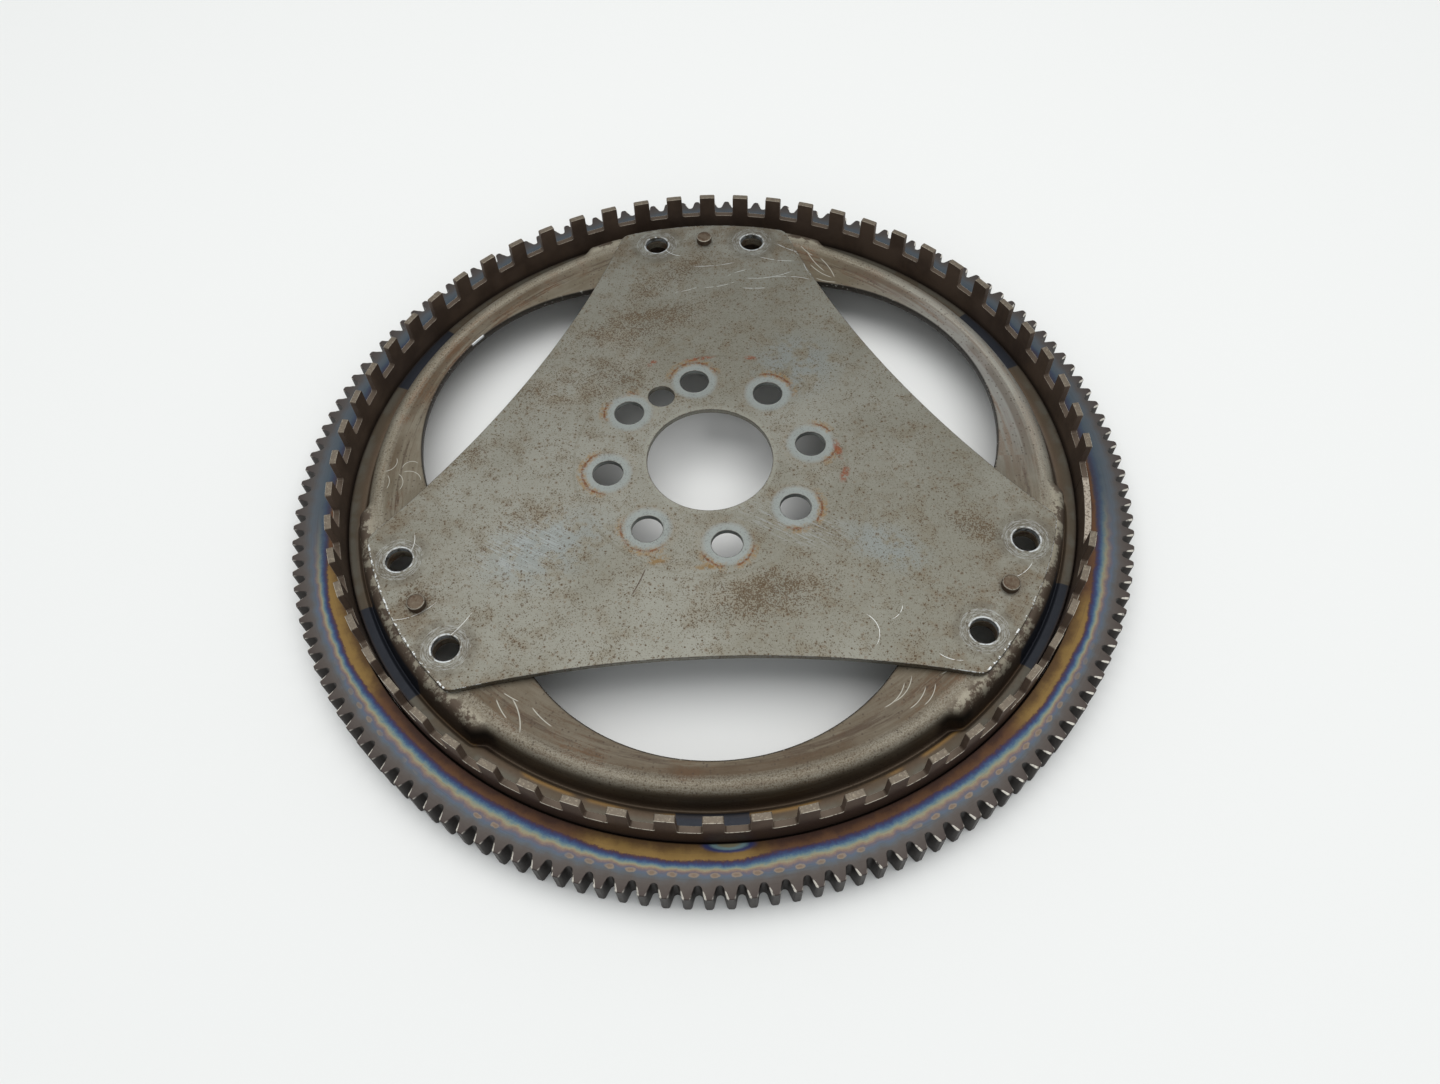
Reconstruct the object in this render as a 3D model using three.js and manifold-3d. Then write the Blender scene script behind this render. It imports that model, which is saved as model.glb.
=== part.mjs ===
// Flexplate of an automatic transmission: a three-armed spring plate riveted to a pressed rim carrier,
// with a crank trigger ring and a starter ring gear round the outside.
// Millimetres, +Z up. The disc's axis is the Z axis, z = 0 is the plane the ring gear rests on, and +Z points
// towards the torque converter. Angles are in degrees, counter-clockwise from +X seen from above.
import * as THREE from 'three';
import Module from 'manifold-3d';

const wasm = await Module();
wasm.setup();

// ---------------------------------------------------------------- driving dimensions

const CLEARANCE = 0.3;              // gap left between neighbouring pieces

const ARM_ANGLES = [90, 210, 330];  // centre lines of the three arms

const GEAR = {
  teeth: 144,
  tipRadius: 154.5,
  rootRadius: 150.2,
  boreRadius: 137.5,
  height: 11.9,
  firstGap: -0.2,                   // centre of one gap between teeth
};

const TRIGGER = {
  outerRadius: 137.15,
  innerRadius: 134.85,
  bottom: 0.9,
  gapFloor: 20.4,
  top: 29.8,
  pitch: 6,                         // degrees: 60 places round the ring
  toothArc: 2.7,
  firstTooth: 5.25,                 // centre of one tooth
  missing: [57, 58],                // the two places with no tooth
  seamAngle: 355.3,
};

const PLATE = {
  top: 23.85,
  thickness: 2.2,
  tipRadius: 124.6,
  tipCorner: 4.6,                   // rounding of the arm corners
  sideRadius: 401.5,                // the concave sides are arcs of this radius
  sideCentre: 481.8,                // their centres' distance from the axis
  centreHole: 23,
};

const CRANK_BOLTS = { count: 8, circle: 37.5, first: 7.98, hole: 5.5 };
const DOWEL = { circle: 35.05, angle: 120.6, hole: 5.0 };
const CONVERTER_HOLES = { circle: 115.3, offset: 10.02, hole: 4.67 };
const RIVET = { circle: 115.1, shank: 2.3, hole: 2.6, head: 3.15, headTop: 2.45, tailHead: 4.4, tailHeight: 1.9 };

const CARRIER = {
  thickness: 3,
  outerRadius: 134.5,
  ledgeTop: 11.55,
  padTop: PLATE.top - PLATE.thickness - CLEARANCE,
  flangeTop: 20.0,                  // between the arms
  lobeCentre: 41,                   // the opening is three arcs, centred off the axis between the arms
  lobeRadius: 73,
  tabRadius: 88,                    // blunt end of the carrier's tabs under the arms
  padEnd: [17, 31],                 // degrees from the arm over which the pad sinks to the flange
  kink: [21.6, 24.8],                 // degrees from the arm over which the wall steps inwards
};

const WELD = { angles: [29.4, 90, 150.7, 211.7, 269, 329.5], arc: 15, leg: 2.1 };

const COLOURS = {
  plate: { color: 0x7f7b6e, roughness: 0.5, metalness: 0.85 },
  carrier: { color: 0x7a6b57, roughness: 0.5, metalness: 0.8 },
  gear: { color: 0x56504d, roughness: 0.42, metalness: 0.9 },
  trigger: { color: 0x493a31, roughness: 0.55, metalness: 0.7 },
  rivet: { color: 0x6d5c50, roughness: 0.5, metalness: 0.8 },
  weld: { color: 0x3a3a40, roughness: 0.6, metalness: 0.7 },
};

// ---------------------------------------------------------------- helpers

const rad = THREE.MathUtils.degToRad;
const lerp = THREE.MathUtils.lerp;
const smoothstep = THREE.MathUtils.smoothstep;

function polar(radius, degrees) {
  return new THREE.Vector2(radius * Math.cos(rad(degrees)), radius * Math.sin(rad(degrees)));
}

// The smallest angle between two directions, from -180 to 180.
function angleBetween(a, b) {
  return THREE.MathUtils.euclideanModulo(a - b + 180, 360) - 180;
}

// Angle from the nearest arm, from -60 to 60.
function fromArm(degrees) {
  return ARM_ANGLES.map((arm) => angleBetween(degrees, arm))
    .reduce((best, value) => (Math.abs(value) < Math.abs(best) ? value : best));
}

// A three.js geometry as a Manifold solid, with its equal vertices merged.
function toSolid(geometry) {
  const source = geometry.index ? geometry.toNonIndexed() : geometry;
  const position = source.getAttribute('position');
  const keys = new Map();
  const vertices = [];
  const corner = [];
  for (let i = 0; i < position.count; i += 1) {
    const point = [position.getX(i), position.getY(i), position.getZ(i)];
    const key = point.map((value) => Math.round(value * 1e4)).join(',');
    if (!keys.has(key)) {
      keys.set(key, vertices.length / 3);
      vertices.push(...point);
    }
    corner.push(keys.get(key));
  }
  const triangles = [];
  for (let i = 0; i < corner.length; i += 3) {
    const [a, b, c] = corner.slice(i, i + 3);
    if (a !== b && b !== c && c !== a) {
      triangles.push(a, b, c);
    }
  }
  return new wasm.Manifold(new wasm.Mesh({
    numProp: 3,
    vertProperties: new Float32Array(vertices),
    triVerts: new Uint32Array(triangles),
  }));
}

function toGeometry(solid) {
  const mesh = solid.getMesh();
  const geometry = new THREE.BufferGeometry();
  geometry.setAttribute('position', new THREE.BufferAttribute(new Float32Array(mesh.vertProperties), 3));
  geometry.setIndex(new THREE.BufferAttribute(new Uint32Array(mesh.triVerts), 1));
  geometry.computeVertexNormals();
  return geometry;
}

function part(name, geometry, look) {
  const mesh = new THREE.Mesh(geometry, new THREE.MeshStandardMaterial(look));
  mesh.name = name;
  return mesh;
}

// A flat shape with round holes, raised from one height to another.
function plateSolid(outline, holes, bottom, top) {
  const shape = new THREE.Shape(outline);
  for (const { centre, radius, segments } of holes) {
    const ring = [];
    for (let i = 0; i < segments; i += 1) {
      ring.push(centre.clone().add(polar(radius, (-360 * i) / segments)));
    }
    shape.holes.push(new THREE.Path(ring));
  }
  const geometry = new THREE.ExtrudeGeometry(shape, { depth: top - bottom, bevelEnabled: false });
  return toSolid(geometry.translate(0, 0, bottom));
}

// A flat ring whose outer and bore outlines are given by the angles of their corners.
function ringSolid(outline, boreRadius, boreAngles, bottom, top) {
  const shape = new THREE.Shape(outline);
  shape.holes.push(new THREE.Path([...boreAngles].reverse().map((angle) => polar(boreRadius, angle))));
  const geometry = new THREE.ExtrudeGeometry(shape, { depth: top - bottom, bevelEnabled: false });
  return toSolid(geometry.translate(0, 0, bottom));
}

// A profile of [radius, z] points turned about the Z axis.
function turned(profile, segments) {
  const points = profile.map(([radius, z]) => new THREE.Vector2(radius, z));
  return toSolid(new THREE.LatheGeometry(points, segments).rotateX(Math.PI / 2));
}

// Sections at angles round the axis, each a closed polygon of the same number of [radius, z] points, joined into
// one solid. The points run outwards along the top and back along the bottom.
function loopOfSections(angles, sectionAt, closed = true) {
  const sections = angles.map((angle) => sectionAt(angle).map(([radius, z]) => {
    const flat = polar(radius, angle);
    return [flat.x, flat.y, z];
  }));
  const size = sections[0].length;
  const triangles = [];
  const last = closed ? sections.length : sections.length - 1;
  for (let i = 0; i < last; i += 1) {
    const here = i * size;
    const next = ((i + 1) % sections.length) * size;
    for (let j = 0; j < size; j += 1) {
      const k = (j + 1) % size;
      triangles.push(here + j, next + k, next + j, here + j, here + k, next + k);
    }
  }
  if (!closed) {
    for (let j = 1; j < size - 1; j += 1) {
      const end = (sections.length - 1) * size;
      triangles.push(0, j + 1, j, end, end + j, end + j + 1);
    }
  }
  const geometry = new THREE.BufferGeometry();
  geometry.setAttribute('position', new THREE.Float32BufferAttribute(sections.flat(2), 3));
  geometry.setIndex(triangles);
  return toSolid(geometry);
}

// ---------------------------------------------------------------- holes shared by plate and carrier

const converterHoles = ARM_ANGLES.flatMap((arm) => [-1, 1].map((side) => (
  polar(CONVERTER_HOLES.circle, arm + side * CONVERTER_HOLES.offset)
)));
const rivetCentres = ARM_ANGLES.map((arm) => polar(RIVET.circle, arm));

// ---------------------------------------------------------------- flex plate

// Half an arm's outline in the arm's own frame, from the middle of the concave side to the arm's centre line.
// The side is an arc centred 60 degrees from the arm, and a fillet joins it to the tip arc.
function halfArm() {
  const centre = polar(PLATE.sideCentre, 60);
  const filletFromSide = PLATE.sideRadius + PLATE.tipCorner;
  const filletFromAxis = PLATE.tipRadius - PLATE.tipCorner;
  // The fillet's centre is at known distances from the axis and from the side's centre.
  const along = (PLATE.sideCentre ** 2 + filletFromAxis ** 2 - filletFromSide ** 2) / (2 * PLATE.sideCentre);
  const fillet = polar(filletFromAxis, 60 - THREE.MathUtils.radToDeg(Math.acos(along / filletFromAxis)));
  const points = [];
  const sideStart = Math.atan2(-centre.y, -centre.x);
  const sideEnd = Math.atan2(fillet.y - centre.y, fillet.x - centre.x);
  const sideSpan = THREE.MathUtils.euclideanModulo(sideEnd - sideStart + Math.PI, 2 * Math.PI) - Math.PI;
  for (let i = 0; i <= 10; i += 1) {
    const angle = sideStart + (sideSpan * i) / 10;
    points.push(new THREE.Vector2(Math.cos(angle), Math.sin(angle)).multiplyScalar(PLATE.sideRadius).add(centre));
  }
  const tipAngle = Math.atan2(fillet.y, fillet.x);
  const filletStart = sideEnd + Math.PI;
  const filletSpan = THREE.MathUtils.euclideanModulo(tipAngle - filletStart + Math.PI, 2 * Math.PI) - Math.PI;
  for (let i = 1; i <= 6; i += 1) {
    const angle = filletStart + (filletSpan * i) / 6;
    points.push(new THREE.Vector2(Math.cos(angle), Math.sin(angle)).multiplyScalar(PLATE.tipCorner).add(fillet));
  }
  const tipSteps = 5;
  for (let i = 1; i <= tipSteps; i += 1) {
    const angle = tipAngle * (1 - i / tipSteps);
    points.push(new THREE.Vector2(Math.cos(angle), Math.sin(angle)).multiplyScalar(PLATE.tipRadius));
  }
  return points;
}

function flexPlate() {
  const upper = halfArm();
  const lower = upper.map((point) => new THREE.Vector2(point.x, -point.y)).reverse();
  // One arm, from the lower side's middle to the upper side's middle, with the shared points left out.
  const arm = [...lower.slice(1), ...upper.slice(0, -1)].sort((a, b) => Math.atan2(a.y, a.x) - Math.atan2(b.y, b.x));
  const outline = ARM_ANGLES.flatMap((angle) => (
    arm.slice(1).map((point) => point.clone().rotateAround(new THREE.Vector2(0, 0), rad(angle)))
  ));
  const crankHoles = Array.from({ length: CRANK_BOLTS.count }, (_, i) => (
    polar(CRANK_BOLTS.circle, CRANK_BOLTS.first + (360 * i) / CRANK_BOLTS.count)
  ));
  const holes = [
    { centre: new THREE.Vector2(0, 0), radius: PLATE.centreHole, segments: 48 },
    ...crankHoles.map((centre) => ({ centre, radius: CRANK_BOLTS.hole, segments: 20 })),
    { centre: polar(DOWEL.circle, DOWEL.angle), radius: DOWEL.hole, segments: 20 },
    ...converterHoles.map((centre) => ({ centre, radius: CONVERTER_HOLES.hole, segments: 18 })),
    ...rivetCentres.map((centre) => ({ centre, radius: RIVET.hole, segments: 12 })),
  ];
  return toGeometry(plateSolid(outline, holes, PLATE.top - PLATE.thickness, PLATE.top));
}

// ---------------------------------------------------------------- rim carrier

// Radius of the three-lobed opening at an angle from the nearest arm.
function openingRadius(away) {
  const psi = rad(60 - Math.abs(away));
  const across = CARRIER.lobeCentre * Math.sin(psi);
  const lobe = CARRIER.lobeCentre * Math.cos(psi) + Math.sqrt(CARRIER.lobeRadius ** 2 - across ** 2);
  return Math.max(lobe, CARRIER.tabRadius);
}

// The carrier's section at an angle: a pressed sheet that runs out from the opening, over the shoulder, down the
// wall, through the groove and out along the ledge. Each row is [radius, z] in the window and on the pad.
function carrierSection(degrees) {
  const away = fromArm(degrees);
  const onPad = 1 - smoothstep(Math.abs(away), ...CARRIER.padEnd);
  const stepped = 1 - smoothstep(Math.abs(away), ...CARRIER.kink);
  const t = CARRIER.thickness;
  const top = lerp(CARRIER.flangeTop, CARRIER.padTop, onPad);
  const dish = 0.4 * (1 - onPad);
  const ledge = CARRIER.ledgeTop;
  const at = (inWindow, underArm) => lerp(inWindow, underArm, stepped);
  const inner = openingRadius(away);
  return [
    [inner, top - dish],
    [119.2, top - dish],
    [at(120.9, 121.6), top],
    [at(122.6, 125.3), top],
    [at(124.4, 127.1), top - 0.8],
    [at(125.5, 128.3), top - 2.6],
    [at(126.1, 129.1), at(12.5, 14)],
    [at(126.5, 129.5), at(9.2, 10.9)],
    [at(127.3, 130.0), at(8.6, 10.5)],
    [at(128.0, 130.4), at(9.4, 10.9)],
    [at(128.6, 131.0), ledge],
    [CARRIER.outerRadius, ledge],
    [CARRIER.outerRadius, ledge - t],
    [at(131.6, 132.0), ledge - t],
    [at(130.2, 131.2), at(6.4, 7.7)],
    [at(127.4, 130.0), at(5.6, 7.5)],
    [at(124.4, 127.5), at(6.4, 7.9)],
    [at(123.1, 126.2), at(8.4, 10.5)],
    [at(122.4, 125.3), top - 5.2],
    [at(121.2, 124.2), top - t],
    [119.2, top - dish - t],
    [inner, top - dish - t],
  ];
}

function rimCarrier() {
  const halfSector = [0, 4, 8, 12, 15, 17.5, 19.5, 21.6, 22.4, 23.2, 24, 24.8, 26.5, 29, 32, 36, 41, 46, 51, 55.5];
  const sector = [...halfSector.slice(1).map((angle) => -angle).reverse(), ...halfSector, 60];
  const angles = ARM_ANGLES.flatMap((arm) => sector.map((angle) => arm + angle));
  const ring = loopOfSections(angles, carrierSection);
  const drills = [
    ...converterHoles.map((centre) => ({ centre, radius: CONVERTER_HOLES.hole, segments: 18 })),
    ...rivetCentres.map((centre) => ({ centre, radius: RIVET.hole, segments: 12 })),
  ].map(({ centre, radius, segments }) => (
    toSolid(new THREE.CylinderGeometry(radius, radius, 20, segments).rotateX(Math.PI / 2)
      .translate(centre.x, centre.y, CARRIER.padTop))
  ));
  return toGeometry(drills.reduce((solid, drill) => solid.subtract(drill), ring));
}

// ---------------------------------------------------------------- rivets

function rivet(centre) {
  const { shank, head, headTop, tailHead, tailHeight } = RIVET;
  const above = PLATE.top + CLEARANCE;
  const below = CARRIER.padTop - CARRIER.thickness - CLEARANCE;
  const solid = turned([
    [0, below - tailHeight],
    [tailHead * 0.72, below - tailHeight],
    [tailHead, below - tailHeight * 0.55],
    [tailHead, below],
    [shank, below],
    [shank, above],
    [head, above],
    [head, PLATE.top + headTop - 0.35],
    [head - 0.4, PLATE.top + headTop],
    [0, PLATE.top + headTop],
  ], 16);
  return toGeometry(solid.translate([centre.x, centre.y, 0]));
}

// ---------------------------------------------------------------- starter ring gear

// One tooth's outline: each row is a radius and the tooth's half thickness there, as a share of the pitch.
function toothOutline(centre) {
  const pitch = 360 / GEAR.teeth;
  const corners = [
    [GEAR.rootRadius, 0.4],
    [GEAR.rootRadius + 0.9, 0.31],
    [GEAR.tipRadius, 0.18],
  ];
  return [
    ...corners.map(([radius, share]) => polar(radius, centre - share * pitch)),
    ...corners.reverse().map(([radius, share]) => polar(radius, centre + share * pitch)),
  ];
}

function starterRingGear() {
  const pitch = 360 / GEAR.teeth;
  const outline = Array.from({ length: GEAR.teeth }, (_, i) => toothOutline(GEAR.firstGap + (i + 0.5) * pitch)).flat();
  const boreAngles = Array.from({ length: 120 }, (_, i) => i * 3);
  return toGeometry(ringSolid(outline, GEAR.boreRadius, boreAngles, 0, GEAR.height));
}

// ---------------------------------------------------------------- trigger ring

function triggerRing() {
  const places = 360 / TRIGGER.pitch;
  const half = TRIGGER.toothArc / 2;
  const centres = Array.from({ length: places }, (_, i) => TRIGGER.firstTooth + i * TRIGGER.pitch);
  const angles = centres.flatMap((centre) => [centre - half, centre + half]);
  const outline = angles.map((angle) => polar(TRIGGER.outerRadius, angle));
  let ring = ringSolid(outline, TRIGGER.innerRadius, angles, TRIGGER.bottom, TRIGGER.top);
  // Each gap runs from the end of one tooth to the start of the next that is there.
  const teeth = centres.filter((_, i) => !TRIGGER.missing.includes(i));
  teeth.forEach((centre, i) => {
    const from = centre + half;
    const to = (i + 1 < teeth.length ? teeth[i + 1] : teeth[0] + 360) - half;
    const inside = TRIGGER.innerRadius - 5;
    const outside = TRIGGER.outerRadius + 5;
    const steps = Math.ceil((to - from) / 5);
    const stations = Array.from({ length: steps + 1 }, (_, k) => lerp(from, to, k / steps));
    const gap = loopOfSections(stations, () => [
      [inside, TRIGGER.gapFloor],
      [inside, TRIGGER.top + 5],
      [outside, TRIGGER.top + 5],
      [outside, TRIGGER.gapFloor],
    ], false);
    ring = ring.subtract(gap);
  });
  // The butt seam shows as a shallow groove down the inner and outer faces.
  for (const radius of [TRIGGER.innerRadius, TRIGGER.outerRadius]) {
    const groove = toSolid(new THREE.CylinderGeometry(0.45, 0.45, 60, 4).rotateX(Math.PI / 2));
    const place = polar(radius, TRIGGER.seamAngle);
    ring = ring.subtract(groove.translate([place.x, place.y, 0]));
  }
  return toGeometry(ring);
}

// ---------------------------------------------------------------- welds

function rimWeld(centre) {
  const outer = TRIGGER.innerRadius - CLEARANCE;
  const top = CARRIER.ledgeTop - CARRIER.thickness - CLEARANCE;
  const count = 6;
  const stations = Array.from({ length: count + 1 }, (_, i) => centre + WELD.arc * (i / count - 0.5));
  const bead = loopOfSections(stations, () => [
    [outer - WELD.leg, top],
    [outer, top],
    [outer, top - WELD.leg],
    [outer - WELD.leg * 0.45, top - WELD.leg * 0.9],
    [outer - WELD.leg * 0.9, top - WELD.leg * 0.45],
  ], false);
  return toGeometry(bead);
}

// ---------------------------------------------------------------- assembly

const flexplate = new THREE.Group();
flexplate.name = 'flexplate';
flexplate.add(part('flex_plate', flexPlate(), COLOURS.plate));
flexplate.add(part('rim_carrier', rimCarrier(), COLOURS.carrier));
flexplate.add(part('trigger_ring', triggerRing(), COLOURS.trigger));
flexplate.add(part('starter_ring_gear', starterRingGear(), COLOURS.gear));
rivetCentres.forEach((centre, i) => flexplate.add(part(`rivet_${i + 1}`, rivet(centre), COLOURS.rivet)));
WELD.angles.forEach((angle, i) => flexplate.add(part(`rim_weld_${i + 1}`, rimWeld(angle), COLOURS.weld)));

export default flexplate;
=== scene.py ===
import math

import bpy
import numpy as np
from mathutils import Matrix, Vector
from mathutils.geometry import delaunay_2d_cdt


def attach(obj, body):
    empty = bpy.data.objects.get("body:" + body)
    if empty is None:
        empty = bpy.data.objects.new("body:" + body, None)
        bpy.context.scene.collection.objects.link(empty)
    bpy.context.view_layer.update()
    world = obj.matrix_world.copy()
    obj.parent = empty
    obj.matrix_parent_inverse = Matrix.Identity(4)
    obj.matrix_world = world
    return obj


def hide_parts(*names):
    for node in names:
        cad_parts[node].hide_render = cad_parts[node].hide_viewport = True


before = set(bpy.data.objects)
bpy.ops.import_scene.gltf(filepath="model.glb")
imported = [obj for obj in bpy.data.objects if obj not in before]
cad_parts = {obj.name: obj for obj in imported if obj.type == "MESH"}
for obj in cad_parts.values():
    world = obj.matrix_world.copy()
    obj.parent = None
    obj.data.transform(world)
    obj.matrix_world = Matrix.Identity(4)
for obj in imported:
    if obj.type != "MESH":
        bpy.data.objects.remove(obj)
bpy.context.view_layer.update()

MM = 0.001
scene = bpy.context.scene

ARMS = (90.0, 210.0, 330.0)

GEAR_TEETH = 144
GEAR_TIP = 154.48
GEAR_ROOT_CENTRE = 151.45          # centre of the round bottom of a gap between teeth
GEAR_ROOT_ROUND = 1.25
GEAR_GAP_HALF = 2.16               # half the gap's width at the tips
GEAR_BORE = 137.5
GEAR_HEIGHT = 11.9
GEAR_WEB = 149.2                   # a ring of points inside the teeth, which keeps the faces even
GEAR_CHAMFER = 0.4                 # at the bore
GEAR_FIRST_GAP = -0.2              # angle of the centre of one gap

RING_OUTER, RING_INNER = 137.15, 134.85
RING_BOTTOM, RING_FLOOR, RING_TOP = 0.9, 20.4, 29.8
RING_PLACES, RING_MISSING = 60, (57, 58)
RING_HALF_TOOTH = 3.2              # half a tooth's width, along the ring
RING_FIRST_TOOTH = 5.25            # angle of the centre of one tooth
RING_CREST_ROUND, RING_FLOOR_ROUND, RING_DRAFT = 0.5, 1.0, 0.06
RING_BEVEL = 0.22
RING_SEAM, SEAM_DEPTH, SEAM_HALF = 355.3, 0.32, 0.3

PLATE_TOP, PLATE_THICKNESS = 23.85, 2.2
PLATE_TIP, PLATE_CORNER = 124.6, 4.6
PLATE_SIDE, PLATE_SIDE_CENTRE = 401.5, 481.8
HUB_HOLE = 23.0
CRANK_CIRCLE, CRANK_FIRST, CRANK_HOLE = 37.5, 7.98, 5.5
CRANK_SEAT, CRANK_SEAT_DEPTH = 8.95, 0.07
DOWEL_CIRCLE, DOWEL_ANGLE, DOWEL_HOLE = 35.05, 120.6, 5.0
CONVERTER_CIRCLE, CONVERTER_OFFSET, CONVERTER_HOLE = 115.3, 10.02, 4.67
CONVERTER_SEAT, CONVERTER_SEAT_DEPTH = 8.2, 0.05
SEAT_RAMP = 0.3                    # width of the step round a seat
RIVET_CIRCLE, RIVET_SHANK, RIVET_HOLE, RIVET_HEAD = 115.1, 2.3, 2.6, 3.15
RIVET_HEAD_HEIGHT, RIVET_TAIL_HEIGHT = 2.45, 1.9
HAIRLINE = 0.02                    # left between pieces that touch

CARRIER_OUTER, CARRIER_THICKNESS = 134.5, 3.0
LEDGE_TOP, PAD_TOP, FLANGE_TOP = 11.55, 21.35, 20.0
FLANGE_DISH, FLANGE_EDGE = 0.4, 119.2
LOBE_CENTRE, LOBE_RADIUS, TAB_RADIUS = 41.0, 73.0, 88.0

WELDS = (29.4, 90.0, 150.7, 211.7, 269.0, 329.5)
WELD_ARC, WELD_LEG = 15.0, 2.1
HEAT_MARKS = ((22.3, 36.5), (83.0, 97.0), (143.5, 158.0), (203.0, 220.4), (264.0, 274.0), (321.8, 337.3))


# ------ helpers for shapes

def polar(radius, degrees):
    a = math.radians(degrees)
    return radius * math.cos(a), radius * math.sin(a)


def turn(point, degrees):
    a = math.radians(degrees)
    return (point[0] * math.cos(a) - point[1] * math.sin(a), point[0] * math.sin(a) + point[1] * math.cos(a))


def lerp(a, b, t):
    return a + (b - a) * t


def smoothstep(value, low, high):
    t = min(1.0, max(0.0, (value - low) / (high - low)))
    return t * t * (3 - 2 * t)


def from_arm(degrees):
    """Angle from the nearest arm, from -60 to 60."""
    return min(((degrees - arm + 180) % 360 - 180 for arm in ARMS), key=abs)


def arc(centre, radius, start, end, steps):
    """Points of an arc, both ends included."""
    points = (polar(radius, lerp(start, end, i / steps)) for i in range(steps + 1))
    return [(centre[0] + x, centre[1] + y) for x, y in points]


def hole_loop(centre, radius, count):
    """A clockwise circle, so that the material is on its left."""
    return [(centre[0] + radius * math.cos(-2 * math.pi * i / count),
             centre[1] + radius * math.sin(-2 * math.pi * i / count)) for i in range(count)]


def inset(loop, distance, period=None):
    """The loop moved to its left by a distance, or by one distance for each point."""
    moved = []
    count = len(loop)
    for i, (x, y) in enumerate(loop):
        x0, y0 = loop[i - 1]
        x1, y1 = loop[(i + 1) % count]
        if period and i == 0:
            x0 -= period
        if period and i == count - 1:
            x1 += period
        ax, ay, bx, by = x - x0, y - y0, x1 - x, y1 - y
        la, lb = math.hypot(ax, ay), math.hypot(bx, by)
        mx, my = -ay / la - by / lb, ax / la + bx / lb
        step = 2 * (distance[i] if hasattr(distance, "__len__") else distance) / max(mx * mx + my * my, 0.5)
        moved.append((x + mx * step, y + my * step))
    return moved


def link(name, data):
    piece = bpy.data.objects.new(name, data)
    scene.collection.objects.link(piece)
    return piece


def make_object(name, node, slot, look, sharp, vertices, faces, edge_wear_and_shade=None):
    """A mesh in millimetres as a piece that rides on the body and stands for a CAD node."""
    mesh = bpy.data.meshes.new(name)
    mesh.from_pydata([(x * MM, y * MM, z * MM) for x, y, z in vertices], [], faces)
    mesh.update()
    if edge_wear_and_shade is not None:
        attribute = mesh.attributes.new("edge_wear_and_shade", "FLOAT", "POINT")
        attribute.data.foreach_set("value", np.array(edge_wear_and_shade, np.float32))
    mesh.polygons.foreach_set("use_smooth", [True] * len(mesh.polygons))
    mesh.set_sharp_from_angle(angle=math.radians(sharp))
    mesh.materials.append(look)
    piece = link(name, mesh)
    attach(piece, "root")
    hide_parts(node)
    return piece


def even_shading(piece):
    """Flat faces stay flat beside small rounded edges."""
    modifier = piece.modifiers.new("even_shading", "WEIGHTED_NORMAL")
    modifier.keep_sharp = True
    modifier.weight = 80


def torus_of_rings(rings):
    """Closed rings with the same number of points, each joined to the next and the last to the first."""
    count, size = len(rings), len(rings[0])
    vertices = [p for ring in rings for p in ring]
    faces = []
    for k in range(count):
        here, there = k * size, ((k + 1) % count) * size
        for i in range(size):
            j = (i + 1) % size
            faces.append((here + i, here + j, there + j, there + i))
    return vertices, faces


def loop_of_sections(angles, section_at, closed=True):
    """Closed sections of [radius, z] points at angles round the axis, joined into one body."""
    sections = []
    for angle in angles:
        c, s = math.cos(math.radians(angle)), math.sin(math.radians(angle))
        sections.append([(radius * c, radius * s, z) for radius, z in section_at(angle)])
    vertices, faces = torus_of_rings(sections)
    if not closed:
        size = len(sections[0])
        ends = (range(size - 1, -1, -1), range(len(vertices) - size, len(vertices)))
        faces = faces[:-size] + [tuple(end) for end in ends]
    return vertices, faces


def turned(profile, segments, centre=(0.0, 0.0), wobble=0.0):
    """A profile of [radius, z] points that starts and ends on the axis, turned about it."""
    vertices = [(centre[0], centre[1], profile[0][1])]
    for radius, z in profile[1:-1]:
        for i in range(segments):
            a = 2 * math.pi * i / segments
            r = radius * (1 + wobble * (math.sin(3 * a + 0.7) + 0.6 * math.sin(5 * a + 2.1)))
            vertices.append((centre[0] + r * math.cos(a), centre[1] + r * math.sin(a), z))
    vertices.append((centre[0], centre[1], profile[-1][1]))
    top = len(vertices) - 1
    faces = []
    for i in range(segments):
        j = (i + 1) % segments
        faces.append((0, 1 + j, 1 + i))
        for k in range(len(profile) - 3):
            a, b = 1 + k * segments, 1 + (k + 1) * segments
            faces.append((a + i, a + j, b + j, b + i))
        faces.append((top - segments + i, top - segments + j, top))
    return vertices, faces


def rounded(points, rounds):
    """An open line with its corners cut again and again, its ends kept."""
    for _ in range(rounds):
        cut = [points[0]]
        for (x0, y0), (x1, y1) in zip(points, points[1:]):
            cut.append((lerp(x0, x1, 0.25), lerp(y0, y1, 0.25)))
            cut.append((lerp(x0, x1, 0.75), lerp(y0, y1, 0.75)))
        cut.append(points[-1])
        points = cut
    return points


# ------ helpers for looks

class Field:
    """A number that varies over the surface. It can be added to, subtracted from and multiplied."""

    def __init__(self, look, socket):
        self.look, self.socket = look, socket

    def __add__(self, other):
        return self.look.math("ADD", self, other)

    def __sub__(self, other):
        return self.look.math("SUBTRACT", self, other)

    def __rsub__(self, other):
        return self.look.math("SUBTRACT", other, self)

    def __mul__(self, other):
        return self.look.math("MULTIPLY", self, other)

    def __abs__(self):
        return self.look.math("ABSOLUTE", self)

    def rise(self, low, high, to=1.0):
        """0 below low and `to` above high, smooth in between. low may be above high."""
        flip = low > high
        node = self.look.node("MapRange", Value=self, From_Min=min(low, high), From_Max=max(low, high),
                              To_Min=to if flip else 0.0, To_Max=0.0 if flip else to)
        node.interpolation_type = "SMOOTHSTEP"
        return Field(self.look, node.outputs["Result"])

    def band(self, low, high, soft):
        """1 between low and high, fading to 0 over the soft distance outside them."""
        return self.rise(low - soft, low) * self.rise(high + soft, high)


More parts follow.
